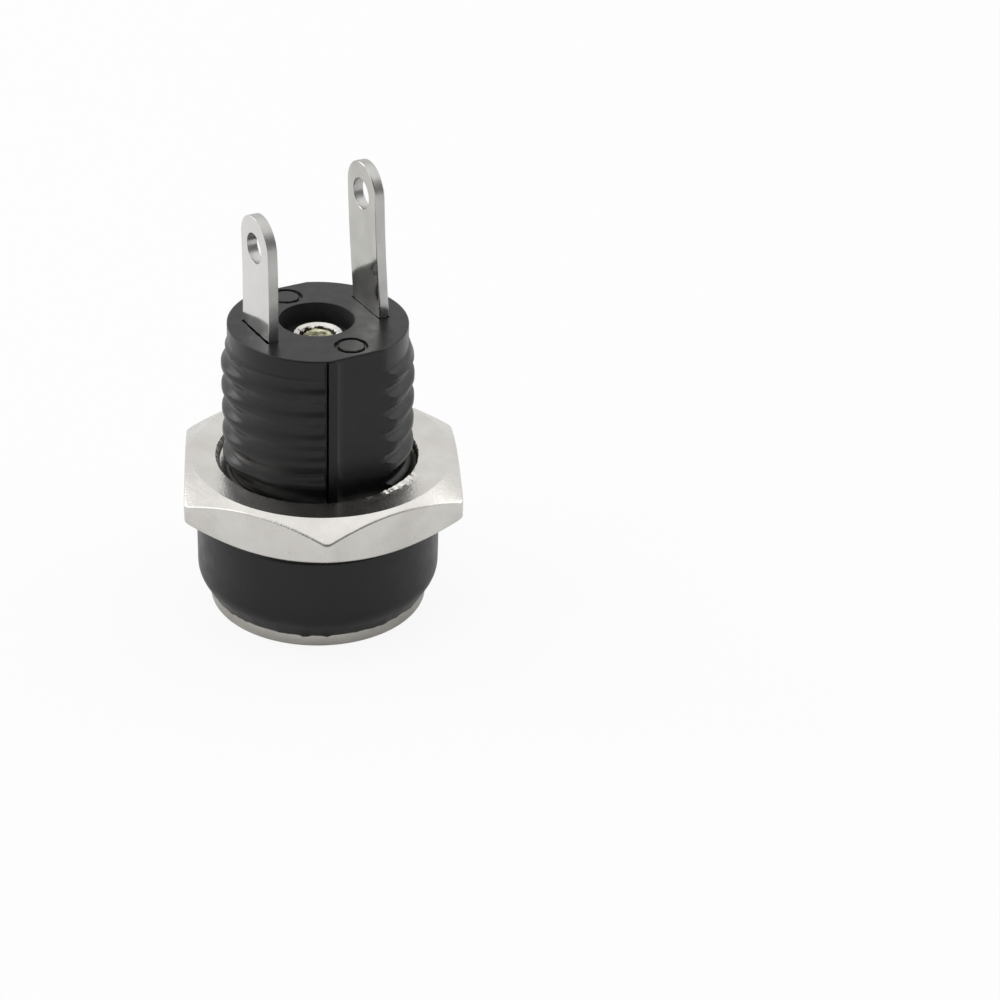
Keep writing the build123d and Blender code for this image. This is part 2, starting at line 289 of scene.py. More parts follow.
# Colours: shares of the moulding's shade, and the metals, light and dark
CLOUD_DARK = (0.75, 0.75, 0.8)
CLOUD_LIGHT = (1.25, 1.25, 1.3)
NICKEL = ((0.75, 0.73, 0.695), (0.63, 0.61, 0.575))
RING_NICKEL = ((0.68, 0.655, 0.61), (0.57, 0.55, 0.505))
TIN = ((0.76, 0.75, 0.74), (0.67, 0.66, 0.65))
# Darker, yellower copy of the tin, for the sleeve lug
SLEEVE_TIN_COLOURS = ((0.59, 0.585, 0.555), (0.45, 0.445, 0.41))
CUT_TIN = ((0.55, 0.545, 0.53), (0.42, 0.415, 0.40))
CORE_BRASS = ((0.76, 0.74, 0.52), (0.08, 0.075, 0.035))
# Painted shade: near-black for the faces in the moat of the rivet's head, where shade falls
MOAT_SHADE_COLOURS = ((0.06, 0.055, 0.04), (0.02, 0.018, 0.012))

# Camera, from a fit to the photograph
CAMERA_AZIMUTH = math.radians(-27.0)
CAMERA_ELEVATION = math.radians(29.04)
CAMERA_DISTANCE = 0.10547
CAMERA_LENS = 84.553
CAMERA_SENSOR = 36.0
CAMERA_CLIP = (0.001, 10.0)
FRAME_SIZE = 1000.0
AIM_POINT = Vector((0.0, 0.0, 0.008))
AIM_PIXEL = (318.26, 436.33)  # where the aim point lies in the frame

# Floor, world and lamps
FLOOR_HALF = 0.6
FLOOR_COLOUR = (0.87, 0.87, 0.87)
FLOOR_ROUGHNESS = 0.9
FLOOR_GLOW = 0.90  # share of the white that no shadow reaches, as the camera sees it
MIRRORED_GLOW = 0.04  # and as the metal mirrors it
WORLD_LIGHT = 0.88  # what falls on the part from all round
SHADE_SIDE = 0.16  # the unlit side of the tent, towards the camera
SHADE_START = 0.25  # cosine of the angle where that side begins
SHADE_FULL = 0.5  # and where it is fully unlit
LAMP_AIM = Vector((0.0, 0.0, 0.01))
# (name, place, size, power in watts)
LAMPS = [
    ("overhead", (0.02, 0.03, 0.30), 0.50, 0.25),
    ("left_side", (-0.30, 0.02, 0.16), 0.22, 0.16),
    ("right_side", (0.30, -0.06, 0.14), 0.22, 0.12),
    ("rear_left", (-0.20, 0.245, 0.12), 0.14, 0.20),
]


def material(name):
    """New node material with its shader."""
    made = bpy.data.materials.new(name)
    made.use_nodes = True
    return made, made.node_tree, made.node_tree.nodes["Principled BSDF"]


def add_node(tree, kind, inputs=None, **settings):
    """Node with settings, and inputs that are values or sockets."""
    node = tree.nodes.new(kind)
    for key, value in settings.items():
        setattr(node, key, value)
    for key, value in (inputs or {}).items():
        if isinstance(value, bpy.types.NodeSocket):
            tree.links.new(value, node.inputs[key])
        else:
            node.inputs[key].default_value = value
    return node


def add_math(tree, operation, *values):
    """Result of a math node on values or sockets."""
    return add_node(tree, "ShaderNodeMath", dict(enumerate(values)), operation=operation).outputs[0]


def object_point(tree):
    """Position on the piece, in metres."""
    return add_node(tree, "ShaderNodeTexCoord").outputs["Object"]


def noise_value(tree, point, scale, detail=3.0):
    """Noise from 0 to 1, with a scale in features per metre."""
    inputs = {"Vector": point, "Scale": scale, "Detail": detail, "Roughness": NOISE_ROUGHNESS}
    return add_node(tree, "ShaderNodeTexNoise", inputs).outputs["Fac"]


def spread(tree, value, low, high, start=NOISE_LOW, end=NOISE_HIGH):
    """Value between start and end, spread over low to high."""
    inputs = {"Value": value, "From Min": start, "From Max": end, "To Min": low, "To Max": high}
    return add_node(tree, "ShaderNodeMapRange", inputs).outputs["Result"]


def blend_colour(tree, factor, first, second):
    """Colour between two, by a factor."""
    node = add_node(tree, "ShaderNodeMix", data_type="RGBA")
    tree.links.new(factor, node.inputs["Factor"])
    node.inputs[6].default_value = (*first, 1.0)
    node.inputs[7].default_value = (*second, 1.0)
    return node.outputs[2]


def bump(tree, shader, layers):
    """Stacks bumps on a shader, each a height value with a strength and a depth in metres."""
    normal = None
    for height, strength, depth in layers:
        node = add_node(tree, "ShaderNodeBump", {"Height": height, "Strength": strength, "Distance": depth})
        if normal is not None:
            tree.links.new(normal, node.inputs["Normal"])
        normal = node.outputs["Normal"]
    tree.links.new(normal, shader.inputs["Normal"])


def moulding_material(name, shade, rough):
    """Black moulded plastic: fine grain, faint flow marks and a few dull patches."""
    made, tree, shader = material(name)
    point = object_point(tree)
    cloud = noise_value(tree, point, CLOUD_SCALE)
    grain = noise_value(tree, point, GRAIN_SCALE, 2.0)
    flow = noise_value(tree, point, FLOW_SCALE, 4.0)
    dark = [share * shade for share in CLOUD_DARK]
    light = [share * shade for share in CLOUD_LIGHT]
    colour = blend_colour(tree, spread(tree, cloud, 0.0, 1.0), dark, light)
    tree.links.new(colour, shader.inputs["Base Color"])
    tree.links.new(spread(tree, flow, *rough), shader.inputs["Roughness"])
    shader.inputs["Specular IOR Level"].default_value = MOULDING_SPECULAR
    bump(tree, shader, [(flow, *FLOW_BUMP), (grain, *GRAIN_BUMP)])
    return made


def patchy_metal(tree, shader, patch, colours, rough):
    """Makes a shader a metal whose colour and gloss change from patch to patch."""
    colour = blend_colour(tree, spread(tree, patch, 0.0, 1.0), *colours)
    tree.links.new(colour, shader.inputs["Base Color"])
    tree.links.new(spread(tree, patch, *rough), shader.inputs["Roughness"])
    shader.inputs["Metallic"].default_value = 1.0


def plated_material(name, colours, rough, crinkle, fine, patches=PATCH_SCALE):
    """Bright plating with soft patches, a crinkle in the sheet below and fine scratches."""
    made, tree, shader = material(name)
    point = object_point(tree)
    patchy_metal(tree, shader, noise_value(tree, point, patches, 4.0), colours, rough)
    ripple = noise_value(tree, point, RIPPLE_SCALE)
    speck = noise_value(tree, point, SPECK_SCALE, 2.0)
    bump(tree, shader, [(ripple, crinkle, RIPPLE_DEPTH), (speck, fine, SPECK_DEPTH)])
    return made


def turned_material(name, colours, rough, lines):
    """Turned metal with fine tool lines that run round the axis."""
    made, tree, shader = material(name)
    point = object_point(tree)
    patchy_metal(tree, shader, noise_value(tree, point, TURNED_PATCH_SCALE, 4.0), colours, rough)
    parts = add_node(tree, "ShaderNodeSeparateXYZ", {"Vector": point}).outputs
    squares = [add_math(tree, "POWER", parts[axis], 2.0) for axis in ("X", "Y")]
    radius = add_math(tree, "SQRT", add_math(tree, "ADD", *squares))
    profile = add_node(tree, "ShaderNodeCombineXYZ", {"X": radius, "Z": parts["Z"]})
    cut = noise_value(tree, profile.outputs[0], lines, 2.0)
    bump(tree, shader, [(cut, *TOOL_BUMP)])
    return made


MOULDING = moulding_material("black_moulding", 0.005, (0.27, 0.40))
# Paler, rougher copy of the moulding for the recess's wall and floor: the roughness is its finish, the
# paler colour is painted light
PALER_MATT_MOULDING = moulding_material("matt_moulding_painted_light", 0.03, (0.50, 0.65))
RING_METAL = turned_material("nickel_ring", RING_NICKEL, (0.16, 0.26), 22000.0)
PIN_METAL = turned_material("pin_metal", NICKEL, (0.14, 0.24), 26000.0)
BRASS = plated_material("brass_core", CORE_BRASS, (0.2, 0.35), 0.5, 0.2, CORE_PATCH_SCALE)
# Painted shade for the moat of the rivet's head
PAINTED_MOAT_SHADE = plated_material("moat_painted_shade", MOAT_SHADE_COLOURS, (0.4, 0.6), 0.3, 0.3)
TINNED = plated_material("tinned_strip", TIN, (0.09, 0.16), 0.05, 0.05)
# Darker, yellower tin for the sleeve lug
DARKER_SLEEVE_TIN = plated_material("darker_sleeve_tin", SLEEVE_TIN_COLOURS, (0.10, 0.18), 0.08, 0.08)
CUT_EDGE = plated_material("cut_edge", CUT_TIN, (0.26, 0.42), 0.25, 0.3)
NUT_METAL = plated_material("nickel_nut", NICKEL, (0.22, 0.31), 0.14, 0.8)


def clamp(t):
    """Value held between 0 and 1."""
    return min(1.0, max(0.0, t))


def smooth(t):
    """Smooth step from 0 to 1."""
    t = clamp(t)
    return t * t * (3 - 2 * t)


def full_turn(count):
    """Angles in radians round a full turn."""
    return [2 * math.pi * i / count for i in range(count)]


def quarter_turn(count):
    """Angles in radians from 0 to a right angle."""
    return [math.pi / 2 * i / count for i in range(count + 1)]


def steps_between(start, end, count):
    """Evenly spaced values from start to end, without the start."""
    return [start + (end - start) * (i + 1) / count for i in range(count)]


def flat_point(radius, angle):
    """Point of a flat outline."""
    return Vector((radius * math.cos(angle), radius * math.sin(angle)))


def polar(radius, angle, height):
    """Point at a radius, an angle and a height."""
    return (radius * math.cos(angle), radius * math.sin(angle), height)


def on_circle(radius, height, angles):
    """Points of a level circle at angles in radians."""
    return [polar(radius, a, height) for a in angles]


def add_ring(bm, points):
    """Vertices of one ring."""
    return [bm.verts.new(p) for p in points]


def skin(bm, lower, upper, part=0):
    """Quads between two closed rings of equal length."""
    count = len(lower)
    faces = []
    for i in range(count):
        j = (i + 1) % count
        faces.append(bm.faces.new((lower[i], lower[j], upper[j], upper[i])))
        faces[-1].material_index = part
    return faces


def skin_all(bm, rings, closed=False):
    """Quads between rings in a row, and from the last to the first where the row is closed."""
    for lower, upper in zip(rings, rings[1:]):
        skin(bm, lower, upper)
    if closed:
        skin(bm, rings[-1], rings[0])


def fill(bm, loops):
    """Flat face inside the first loop, with the other loops as its holes."""
    edges = []
    for loop in loops:
        for a, b in zip(loop, loop[1:] + loop[:1]):
            edges.append(bm.edges.get((a, b)) or bm.edges.new((a, b)))
    bmesh.ops.triangle_fill(bm, edges=edges, use_beauty=True, normal=(0.0, 0.0, 1.0))


def soften(before, corner, after, reach, steps=3):
    """Points that round a corner of an outline, from reach before it to reach after it."""
    start = corner + (before - corner).normalized() * reach
    end = corner + (after - corner).normalized() * reach
    points = []
    for i in range(steps + 1):
        t = i / steps
        points.append(start * (1 - t) ** 2 + corner * (2 * t * (1 - t)) + end * t**2)
    return points


def finish_piece(name, bm, materials, node, sharp=SHARP_ANGLE):
    """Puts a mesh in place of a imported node, with smooth shading and crisp edges."""
    bmesh.ops.remove_doubles(bm, verts=bm.verts, dist=TINY)
    bmesh.ops.recalc_face_normals(bm, faces=bm.faces)
    mesh = bpy.data.meshes.new(name)
    bm.to_mesh(mesh)
    bm.free()
    mesh.transform(Matrix.Scale(MM, 4))
    mesh.polygons.foreach_set("use_smooth", [True] * len(mesh.polygons))
    mesh.set_sharp_from_angle(angle=sharp)
    for made in materials:
        mesh.materials.append(made)
    piece = bpy.data.objects.new(name, mesh)
    bpy.context.scene.collection.objects.link(piece)
    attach(piece, BODY)
    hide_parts(node)
    return piece


def even_normals(piece):
    """Keeps large faces flat beside their rounded edges."""
    piece.modifiers.new("even_normals", "WEIGHTED_NORMAL").keep_sharp = True


def ridge_share(angle):
    """Share of the full depth that a ridge has at an angle. It is least on the way to the steps."""
    side = (angle + math.pi / 2) % math.pi - math.pi / 2
    if side > FADE_START:
        share = STEP_FADE + (1 - STEP_FADE) * smooth((FADE_START + FADE_ARC - side) / FADE_ARC)
        return share + (STEP_SHARE - STEP_FADE) * smooth((side - STEP_SHARE_START) / STEP_SHARE_ARC)
    return FLAT_FADE + (1 - FLAT_FADE) * smooth((FLAT_FADE_END + side) / FADE_ARC)


def flank_share(angle, height):
    """Share from 0 at the foot of a ridge to 1 on its crest."""
    turns = (height - FIRST_CREST) / THREAD_PITCH - angle / (2 * math.pi)
    off_crest = abs(turns - round(turns)) * THREAD_PITCH
    return clamp((FOOT_HALF - off_crest) / (FOOT_HALF - CREST_HALF))


def thread_radius(angle, height):
    """Radius of the shank at an angle in radians, with its rounded ridges and their fading end."""
    flank = flank_share(angle, height)
    rise = (1 - FLANK_SMOOTH) * flank + FLANK_SMOOTH * smooth(flank)
    depth = CREST_RADIUS - SHANK_RADIUS
    ridge = depth * rise * ridge_share(angle)
    lead = depth * clamp((THREAD_END - height) / LEAD_LENGTH)
    return SHANK_RADIUS + min(ridge, lead)


def meeting_angle(arc, offset, turn, side, height):
    """Angle from +X, seen with the shank turned, where the thread meets a flat or a step."""
    angle = arc(offset / SHANK_RADIUS)
    for _ in range(SOLVE_STEPS):
        angle = arc(offset / thread_radius(turn + side * angle, height))
    return angle


def flat_angle(turn, height):
    """Angle below +X where the thread meets the flat."""
    return meeting_angle(math.asin, FLAT_OFFSET, turn, -1, height)


def groove_outline(step_before, step_top):
    """Outline from the step through the groove and over the relief strip to the flat."""
    groove_end = STEP_OFFSET - GROOVE_WIDTH
    foot = Vector((STEP_OFFSET, GROOVE_FLOOR))
    far_foot = Vector((groove_end, GROOVE_FLOOR))
    rim = Vector((groove_end, math.sqrt(RELIEF_RADIUS**2 - groove_end**2)))
    strip = Vector((math.sqrt(RELIEF_RADIUS**2 - FLAT_OFFSET**2), FLAT_OFFSET))
    points = soften(step_before, step_top, foot, GROOVE_LIP)
    points += soften(step_top, foot, far_foot, GROOVE_FOOT)
    points += soften(foot, far_foot, rim, GROOVE_FOOT)
    points += soften(far_foot, rim, strip, GROOVE_LIP)
    away = (rim - strip).normalized()
    for along, lift in BEAD_SHAPE:
        points.append(strip + away * along + Vector((0.0, EDGE_BEAD * lift)))
    for along, lift in reversed(BEAD_SHAPE[:-1]):
        points.append(strip + Vector((-along, EDGE_BEAD * lift)))
    return points


def cap_outline(start, count):
    """Plain arc from the step to the flat, where a thin wall closes the groove."""
    end = math.asin(FLAT_OFFSET / SHANK_RADIUS)
    return [flat_point(SHANK_RADIUS, a) for a in (start, *steps_between(start, end, count - 1))]


def half_outline(turn, height):
    """Half of the shank's outline, from one flat round the thread to the end of the next flat."""
    start = -flat_angle(turn, height)
    end = meeting_angle(math.acos, STEP_OFFSET, turn, 1, height)
    points = []
    for angle in (start, *steps_between(start, end, ARC_STEPS)):
        points.append(flat_point(thread_radius(turn + angle, height), angle))
    step_top = points.pop()
    groove = groove_outline(points[-1], step_top)
    cap = cap_outline(end, len(groove))
    capped = smooth((height - REAR_FACE + GROOVE_CAP) / CAP_FADE)
    points += [p.lerp(q, capped) for p, q in zip(groove, cap)]
    flat_end = -FLAT_OFFSET / math.tan(flat_angle(turn + math.pi, height))
    along_flat = steps_between(points[-1].x, flat_end, FLAT_STEPS)
    points += [Vector((x, FLAT_OFFSET)) for x in along_flat[:-1]]
    return [Matrix.Rotation(turn, 2) @ p for p in points]


def shank_outline(height):
    """Full outline of the shank at a height."""
    return half_outline(0.0, height) + half_outline(math.pi, height)


def inset(points, distance):
    """Outline moved inwards."""
    moved = []
    for before, here, after in zip(points[-1:] + points[:-1], points, points[1:] + points[:1]):
        along = (after - before).normalized()
        moved.append(here + Vector((-along.y, along.x)) * distance)
    return moved


def add_outline(bm, points, height):
    """Ring of a flat outline at a height."""
    return add_ring(bm, [(p.x, p.y, height) for p in points])


def add_shank(bm):
    """Shank from the flange to its rounded rear edge. Gives its first and last ring."""
    rings = []
    top = REAR_FACE - REAR_EDGE
    for height in (FLANGE_REAR, *steps_between(FLANGE_REAR, top, SHANK_LEVELS)):
        rings.append(add_outline(bm, shank_outline(height), height))
    rear = shank_outline(REAR_FACE)
    for angle in quarter_turn(EDGE_STEPS)[1:]:
        edge = inset(rear, REAR_EDGE * (1 - math.cos(angle)))
        rings.append(add_outline(bm, edge, top + REAR_EDGE * math.sin(angle)))
    rings.append(add_outline(bm, inset(rear, REAR_EDGE + FACE_BORDER), REAR_FACE))
    skin_all(bm, rings)
    return rings[0], rings[-1]


def flange_flash(angle, height):
    """(outward, downward) flash of the moulding at the front ring, fading out above it."""
    fade = max(0.0, 1.0 - (height - RING_HEIGHT) / FLASH_FADE)
    place = Vector(polar(FLASH_SCALE, angle, FLASH_SEED))
    wobble = noise.noise(place) + FLASH_DETAIL_SHARE * noise.noise(FLASH_DETAIL * place)
    return FLASH_WOBBLE * wobble * fade, FLASH_DROP * max(0.0, wobble) * fade


def flange_profile():
    """(radius, height) points up the outside of the flange."""
    points = [(SPIGOT_RADIUS + PRESS_GAP, RING_HEIGHT), (RING_RADIUS + PRESS_GAP, RING_HEIGHT)]
    foot = Vector((FLANGE_FRONT_RADIUS, RING_HEIGHT))
    corner = Vector((FLANGE_RADIUS, TAPER_TOP))
    chamfer = Vector((FLANGE_RADIUS, FLANGE_REAR - FLANGE_EDGE))
    rear = Vector((FLANGE_RADIUS - FLANGE_EDGE, FLANGE_REAR))
    rise = (corner - foot).normalized()
    points += [foot + rise * place for place in TAPER_PLACES]
    points += soften(foot, corner, chamfer, TAPER_ROUND, TAPER_ROUND_STEPS)
    for i in range(1, WALL_STEPS + 1):
        points.append(Vector((FLANGE_RADIUS, TAPER_TOP + TAPER_ROUND + i * WALL_STEP)))
    points += soften(corner, chamfer, rear, FLANGE_EDGE_ROUND)
    points.append(rear)
    return [(p[0], p[1]) for p in points]


def add_flange(bm, angles):
    """Outside of the flange with its flash. Gives its first and last ring."""
    rings = []
    for radius, height in flange_profile():
        points = on_circle(radius, height, angles)
        if radius > FLANGE_FRONT_RADIUS:
            for i, a in enumerate(angles):
                out, down = flange_flash(a, height)
                points[i] = polar(max(radius + out, RING_RADIUS + PRESS_GAP), a, height - down)
        rings.append(add_ring(bm, points))
    skin_all(bm, rings)
    return rings[0], rings[-1]


def keyway_reach(angle, radius):
    """Radius of the socket's wall, which is cut wider for the two contact strips."""
    across = abs(math.cos(angle))
    up = math.sin(angle)
    side = KEYWAY_HIGH if up > 0 else -KEYWAY_LOW
    limit = min(KEYWAY_REACH / max(across, TINY), side / max(abs(up), TINY))
    return max(radius, limit)


def socket_angles():
    """Angles round the housing, with the corners of the keyways among them."""
    corners = []
    for y in (KEYWAY_LOW, KEYWAY_HIGH):
        corners.append(math.atan2(y, KEYWAY_REACH) % (2 * math.pi))
        corners.append(math.atan2(y, -KEYWAY_REACH) % (2 * math.pi))
    kept = []
    for angle in full_turn(ROUND_STEPS):
        if min(abs(angle - c) for c in corners) > math.pi / ROUND_STEPS:
            kept.append(angle)
    return sorted(kept + corners)


def add_socket(bm, first, angles):
    """Inside of the housing from the bushing's seat to the socket's floor. Gives its last ring."""
    wall = [
        (SPIGOT_RADIUS + PRESS_GAP, SPIGOT_END + PRESS_GAP),
        (BORE_RADIUS, SPIGOT_END + PRESS_GAP),
        (BORE_RADIUS, LEDGE_DEPTH),
        (THROAT_RADIUS + LEDGE_EDGE, LEDGE_DEPTH),
        (THROAT_RADIUS, LEDGE_DEPTH + LEDGE_EDGE),
        (THROAT_RADIUS, SOCKET_DEPTH),
    ]
    rings = [first]
    for radius, height in wall:
        points = on_circle(radius, height, angles)
        if radius <= BORE_RADIUS:
            points = [polar(keyway_reach(a, radius), a, height) for a in angles]
        rings.append(add_ring(bm, points))
    skin_all(bm, rings)
    return rings[-1]


def add_recess(bm):
    """Rear recess with a rounded rim, down through the rivet's hole. Gives its first and last ring."""
    hole = RIVET_RADIUS + RIVET_GAP
    profile = [(RECESS_RADIUS + RECESS_EDGE + FACE_BORDER, REAR_FACE, RECESS_SHIFT)]
    for angle in quarter_turn(EDGE_STEPS):
        radius = RECESS_RADIUS + RECESS_EDGE * (1 - math.sin(angle))
        profile.append((radius, REAR_FACE - RECESS_EDGE * (1 - math.cos(angle)), RECESS_SHIFT))
    profile.append((RECESS_RADIUS, RECESS_FLOOR, RECESS_SHIFT))
    profile.append((hole, RECESS_FLOOR, 0.0))
    profile.append((hole, SOCKET_DEPTH, 0.0))
    rings = []
    for radius, height, shift in profile:
        circle = on_circle(radius, height, full_turn(PIN_STEPS))
        rings.append(add_ring(bm, [(x, y + shift, z) for x, y, z in circle]))
    skin_all(bm, rings[:-3])
    # The recess's wall and floor take the paler moulding, whose colour is painted light
    skin(bm, rings[-4], rings[-3], PALER_RECESS_PART)
    skin(bm, rings[-3], rings[-2], PALER_RECESS_PART)
    skin(bm, rings[-2], rings[-1])
    return rings[0], rings[-1]


def slot_loop(side, height, flare=0.0):
    """Outline of the slot that a contact strip passes through, with an uneven flare."""
    half_x = STRIP_THICKNESS / 2 + STRIP_GAP
    half_y = STRIP_HALF_WIDTH + STRIP_GAP
    corners = [Vector(corner) for corner in SQUARE]
    points = []
    for i, corner in enumerate(corners):
        for k in range(SLOT_STEPS):
            place = corner.lerp(corners[(i + 1) % 4], k / SLOT_STEPS)
            grain = Vector((SLOT_SCALE[0] * place.x, SLOT_SCALE[1] * place.y, SLOT_SEED + side))
            wide = flare * (SLOT_LEVEL + SLOT_UNEVEN * noise.noise(grain))
            x = STRIP_OFFSET + place.x * half_x + wide * max(0.0, place.x)
            y = STRIP_SHIFT + place.y * (half_y + SLOT_ENDS * wide)
            points.append((side * x, y, height))
    return points


def add_slots(bm):
    """Slots of the two contact strips. Gives their rims on the rear face and in the socket's floor."""
    rear_rims = []
    floor_rims = []
    for side in (-1, 1):
        upper = add_ring(bm, slot_loop(side, REAR_FACE, SLOT_FLARE))
        throat = add_ring(bm, slot_loop(side, REAR_FACE - SLOT_FLARE_DEPTH))
        lower = add_ring(bm, slot_loop(side, SOCKET_DEPTH))
        skin_all(bm, [lower, throat, upper])
        rear_rims.append(upper)
        floor_rims.append(lower)
    return rear_rims, floor_rims


def add_ejector(bm, turn):
    """Ring groove that an ejector pin left round a flush disc. Gives its rim on the rear face."""
    middle_x = -EJECTOR_OFFSET * math.sin(turn)
    middle_y = EJECTOR_OFFSET * math.cos(turn)
    disc = EJECTOR_RADIUS - EJECTOR_GROOVE
    lip = REAR_FACE - EJECTOR_LIP
    bottom = REAR_FACE - EJECTOR_DEPTH
    profile = [(EJECTOR_RADIUS, REAR_FACE), (EJECTOR_RADIUS - EJECTOR_LEAN / 2, lip)]
    profile += [(EJECTOR_RADIUS - EJECTOR_LEAN, bottom), (disc, bottom)]
    profile += [(disc - DISC_LEAN, lip), (disc - DISC_EDGE, REAR_FACE)]
    rings = []
    for radius, height in profile:
        points = []
        for x, y, z in on_circle(radius, height, full_turn(EJECTOR_STEPS)):
            place = Vector((EJECTOR_SCALE * x, EJECTOR_SCALE * y, turn))
            wobble = 1 + EJECTOR_WOBBLE * noise.noise(place)
            points.append((middle_x + x * wobble, middle_y + y * wobble, z))
        rings.append(add_ring(bm, points))
    skin_all(bm, rings)
    fill(bm, [rings[-1]])
    return rings[0]


def housing():
    """Black moulding with its flange, thread, flats, rear face and socket."""
    bm = bmesh.new()
    angles = socket_angles()
    flange_start, flange_end = add_flange(bm, angles)
    shank_start, shank_end = add_shank(bm)
    fill(bm, [flange_end, shank_start])
    floor_wall = add_socket(bm, flange_start, angles)
    recess_rim, rivet_hole = add_recess(bm)
    rear_slots, floor_slots = add_slots(bm)
    marks = [add_ejector(bm, turn) for turn in (EJECTOR_TURN, EJECTOR_TURN + math.pi)]
    fill(bm, [shank_end, recess_rim, *rear_slots, *marks])
    fill(bm, [floor_wall, rivet_hole, *floor_slots])
    even_normals(finish_piece("moulded_housing", bm, [MOULDING, PALER_MATT_MOULDING], "housing"))


def turned_profile(rows):
    """Closed (radius, height) profile from rows of radius, height and rounding."""
    corners = [Vector((radius, height)) for radius, height, _ in rows]
    outline = []
    for i, corner in enumerate(corners):
        rounding = rows[i][2]
        if rounding == 0:
            outline.append(corner)
            continue
        after = corners[(i + 1) % len(corners)]
        outline += soften(corners[i - 1], corner, after, rounding)
    return outline


def front_bushing():
    """Turned ring with a funnel mouth."""
    rows = [
        (MOUTH_RADIUS, 0.0, FUNNEL_ROUND),
        (RING_RADIUS - RING_EDGE, 0.0, RING_ROUND),
        (RING_RADIUS, RING_EDGE, RING_ROUND),
        (RING_RADIUS, RING_HEIGHT, RING_REAR_ROUND),
        (SPIGOT_RADIUS, RING_HEIGHT, 0.0),
        (SPIGOT_RADIUS, SPIGOT_END, 0.0),
        (BORE_RADIUS, SPIGOT_END, BORE_ROUND),
        (BORE_RADIUS, FUNNEL_DEPTH, FUNNEL_ROUND),
    ]
    bm = bmesh.new()
    angles = full_turn(ROUND_STEPS)
    rings = [add_ring(bm, on_circle(p.x, p.y, angles)) for p in turned_profile(rows)]
    skin_all(bm, rings, closed=True)
    even_normals(finish_piece("funnel_ring", bm, [RING_METAL], "front_bushing"))


def moat_share(angle):
    """Share of the moat's full depth at an angle round the rivet's head."""
    return clamp(MOAT_LEVEL + MOAT_UNEVEN * noise.noise(Vector(polar(MOAT_SCALE, angle, MOAT_SEED))))


def stake(radius, angle):
    """Height of the rivet's dished head: a blunt tip in a ragged moat, with cracks that run outwards."""
    share = clamp(radius / (HEAD_RADIUS - HEAD_EDGE))
    swell = math.sin(math.pi * share)
    dish = DISH_DEPTH * (1 - share)
    tip = CORE_HEIGHT * smooth(1 - radius / CORE_RADIUS)
    moat = MOAT_DEPTH * moat_share(angle) * math.exp(-(((radius - MOAT_RADIUS) / MOAT_SPREAD) ** 2))
    wander = CRACK_WANDER * noise.noise(Vector(polar(1.0, angle, CRACK_SEED)))
    swing = abs(math.sin(CRACK_TURNS * angle + wander))
    crack = CRACK_DEPTH * (1.0 - swing) ** CRACK_SHARPNESS * swell
    lump = LUMP_HEIGHT * noise.noise(Vector(polar(LUMP_SCALE * radius, angle, LUMP_SEED))) * swell
    return tip - dish - moat - crack + lump


def pin_profile():
    """(radius, height) points from the pin's tip over its collar to the edge of the rivet's head."""
    profile = []
    for angle in quarter_turn(TIP_STEPS):
        radius = TIP_FLAT_RADIUS + (PIN_RADIUS - TIP_FLAT_RADIUS) * math.sin(angle)
        profile.append((radius, PIN_TIP + TIP_LENGTH * (1 - math.cos(angle))))
    collar = FOOT_UNDERSIDE - COLLAR_HEIGHT
    profile += [(PIN_RADIUS, height) for height in (*PIN_RINGS, collar)]
    profile += [(COLLAR_RADIUS - COLLAR_EDGE, collar), (COLLAR_RADIUS, collar + COLLAR_EDGE)]
    profile += [(COLLAR_RADIUS, FOOT_UNDERSIDE), (RIVET_RADIUS, FOOT_UNDERSIDE)]
    profile += [(RIVET_RADIUS, RECESS_FLOOR), (HEAD_RADIUS, RECESS_FLOOR)]
    for angle in quarter_turn(HEAD_EDGE_STEPS):
        radius = HEAD_RADIUS - HEAD_EDGE * (1 - math.cos(angle))
        profile.append((radius, HEAD_TOP - HEAD_EDGE * (1 - math.sin(angle))))
    return profile


def add_rivet_head(bm, edge, angles):
    """Staked face inside the edge of the rivet's head: a plated rim, a moat with painted shade in it and a
    brass core.
    """
    previous = edge
    for i in range(1, HEAD_STEPS + 1):
        radius = (HEAD_RADIUS - HEAD_EDGE) * (1 - i / HEAD_STEPS) + HEAD_CENTER * i / HEAD_STEPS
        points = [polar(radius, a, HEAD_TOP + min(0.0, stake(radius, a))) for a in angles]
        current = add_ring(bm, points)
        faces = skin(bm, previous, current, BRASS_PART if radius < MOAT_RADIUS else 0)
        # Faces along the moat get painted shade, as wide as the moat is deep
        for a, face in zip(angles, faces):
            if abs(radius - MOAT_RADIUS) < MOAT_HALF_WIDTH * moat_share(a):
                face.material_index = MOAT_SHADE_PART
        previous = current
    bm.faces.new(previous).material_index = BRASS_PART


def center_pin():
    """Turned pin with a round tip and a collar, and a rivet head staked in a star."""
    bm = bmesh.new()
    angles = full_turn(PIN_STEPS)
    rings = [add_ring(bm, on_circle(radius, height, angles)) for radius, height in pin_profile()]
    skin_all(bm, rings)
    fill(bm, [rings[0]])
    add_rivet_head(bm, rings[-1], angles)
    finish_piece("riveted_pin", bm, [PIN_METAL, BRASS, PAINTED_MOAT_SHADE], "center_pin")


def eye_grid(top):
    """(across, height) points of a lug's round end, in loops from its eyelet to its rim."""
    center = top - STRIP_HALF_WIDTH
    eyelet = top - EYELET_SETBACK
    count = 4 * EYE_STEPS
    inner = []
    outer = []
    for i in range(count):
        angle = 2 * math.pi * i / count - 3 * math.pi / 4
        across = math.cos(angle)
        up = math.sin(angle)
        reach = STRIP_HALF_WIDTH
        if up < 0:
            reach = STRIP_HALF_WIDTH / max(abs(across), abs(up))
        inner.append(Vector((EYELET_RADIUS * across, eyelet + EYELET_RADIUS * up)))
        outer.append(Vector((reach * across, center + reach * up)))
    return [[a.lerp(b, share) for a, b in zip(inner, outer)] for share in EYE_SHARES]


